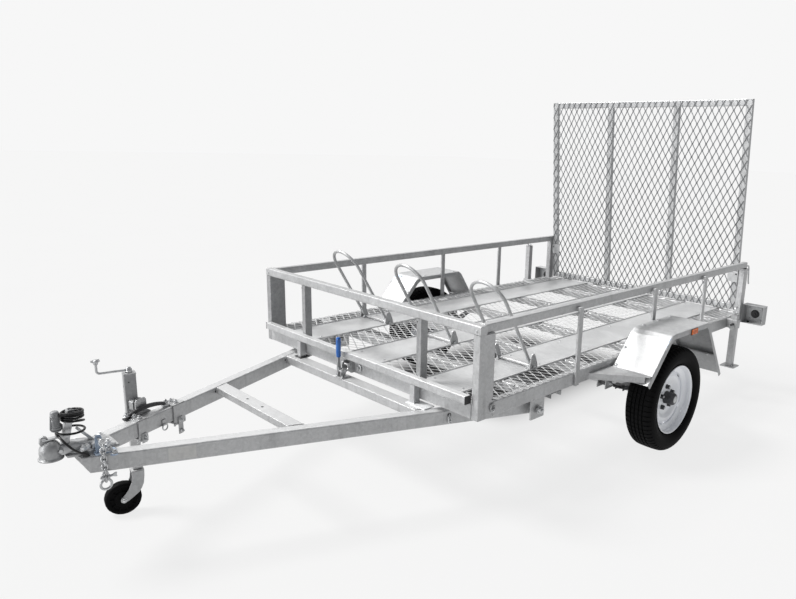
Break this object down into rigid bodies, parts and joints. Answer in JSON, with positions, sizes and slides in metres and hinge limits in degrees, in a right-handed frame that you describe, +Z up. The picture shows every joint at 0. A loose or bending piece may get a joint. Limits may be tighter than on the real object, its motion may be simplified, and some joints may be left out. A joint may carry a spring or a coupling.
{
  "type": "utility trailer",
  "caption": "Tilting-bed utility trailer: open galvanised frame with mesh floor, wheel hoops, folding mesh ramp, A-frame drawbar, ball coupling and jockey stand.",
  "frame": {"origin": "on the ground, midway between the rear of the tail lamps and the front of the coupling, on the trailer's centre plane", "axes": "+X forward to the coupling, +Y to the trailer's left, +Z up"},
  "size_m": [3.889, 2.02, 1.8191],
  "materials": {
    "galvanised": "hot-dip galvanised, dull",
    "galvanised_mesh": "expanded metal, galvanised",
    "aluminium_plate": "mill finish, ribbed",
    "zinc_plate": "zinc plated, satin",
    "tyre": "worn matt",
    "wheel_paint": "silver white, semi-gloss",
    "dark_steel": "black, semi-gloss",
    "black_plastic": "matt",
    "jockey_rubber": "solid rubber, matt",
    "cable": "glossy sheath",
    "grey_plastic": "matt grey"
  },
  "bodies": {
    "drawbar": {"drawbar_rail_left": "galvanised", "drawbar_rail_right": "galvanised", "drawbar_crossmembers": "galvanised", "nose_plate": "galvanised", "coupling_head": "zinc_plate", "coupling_lever": "zinc_plate", "toggle_clamp": "zinc_plate", "jockey_mount": "zinc_plate", "safety_chain": "zinc_plate", "lead_tube": "cable", "lead_gland": "black_plastic", "lead_coil": "cable", "lead_plug": "grey_plastic"},
    "bed": {"bed_side_rails": "galvanised", "bed_end_rails": "galvanised", "floor_bearers": "galvanised", "under_crossmember": "galvanised", "floor_mesh": "galvanised_mesh", "wheel_channels": "aluminium_plate", "cage_top_rails": "galvanised", "corner_posts": "galvanised", "side_posts": "galvanised", "front_posts": "galvanised", "front_lower_rail": "galvanised", "wheel_hoops": "galvanised", "hoop_brackets": "galvanised", "mudguard_left": "galvanised", "mudguard_right": "galvanised", "mudguard_stays": "galvanised", "tail_light_boards": "galvanised", "tail_lamps": "black_plastic", "axle_beam": "galvanised", "leaf_springs": "dark_steel", "spring_hangers": "galvanised", "drop_leg_sleeves": "galvanised", "tilt_pivot_brackets": "galvanised", "ramp_hinge_knuckles": "galvanised", "ramp_lock_pins": "zinc_plate"},
    "wheel_left": {"tyre_left": "tyre", "rim_left": "wheel_paint", "hub_left": "dark_steel"},
    "wheel_right": {"tyre_right": "tyre", "rim_right": "wheel_paint", "hub_right": "dark_steel"},
    "ramp": {"ramp_side_rails": "galvanised", "ramp_uprights": "galvanised", "ramp_mesh": "galvanised_mesh", "ramp_end_rails": "galvanised"},
    "leg_left": {"drop_leg_left": "galvanised"},
    "leg_right": {"drop_leg_right": "galvanised"},
    "jockey_stand": {"jockey_outer_tube": "zinc_plate", "jockey_crank": "zinc_plate"},
    "jockey_inner": {"jockey_inner_tube": "zinc_plate"},
    "jockey_swivel_fork": {"jockey_fork": "zinc_plate"},
    "jockey_roller": {"jockey_wheel": "jockey_rubber"}
  },
  "joints": [
    {"name": "bed_tilt", "type": "hinge", "parent": "drawbar", "child": "bed", "pos_m": [0.2255, 0, 0.394], "axis": [0, -1, 0], "range_deg": [0, 12]},
    {"name": "wheel_left_spin", "type": "hinge", "parent": "bed", "child": "wheel_left", "pos_m": [-0.6565, 0.91, 0.273], "axis": [0, 1, 0], "continuous": true},
    {"name": "wheel_right_spin", "type": "hinge", "parent": "bed", "child": "wheel_right", "pos_m": [-0.6565, -0.91, 0.273], "axis": [0, 1, 0], "continuous": true},
    {"name": "ramp_hinge", "type": "hinge", "parent": "bed", "child": "ramp", "pos_m": [-1.8975, 0, 0.496], "axis": [0, -1, 0], "range_deg": [0, 117]},
    {"name": "leg_left_slide", "type": "slide", "parent": "bed", "child": "leg_left", "axis": [0, 0, 1], "range_m": [0, 0.225]},
    {"name": "leg_right_slide", "type": "slide", "parent": "bed", "child": "leg_right", "axis": [0, 0, 1], "range_m": [-0.225, 0]},
    {"name": "jockey_swing", "type": "hinge", "parent": "drawbar", "child": "jockey_stand", "pos_m": [1.5515, -0.238, 0.466], "axis": [-0.3859, 0.9226, 0], "range_deg": [0, 90]},
    {"name": "jockey_wind", "type": "slide", "parent": "jockey_stand", "child": "jockey_inner", "axis": [0, 0, 1], "range_m": [-0.06, 0.12]},
    {"name": "jockey_swivel", "type": "hinge", "parent": "jockey_inner", "child": "jockey_swivel_fork", "pos_m": [1.5515, -0.238, 0.186], "axis": [0, 0, 1], "continuous": true},
    {"name": "jockey_wheel_spin", "type": "hinge", "parent": "jockey_swivel_fork", "child": "jockey_roller", "pos_m": [1.61117, -0.25068, 0.069], "axis": [0.2079, 0.9781, 0], "continuous": true}
  ]
}
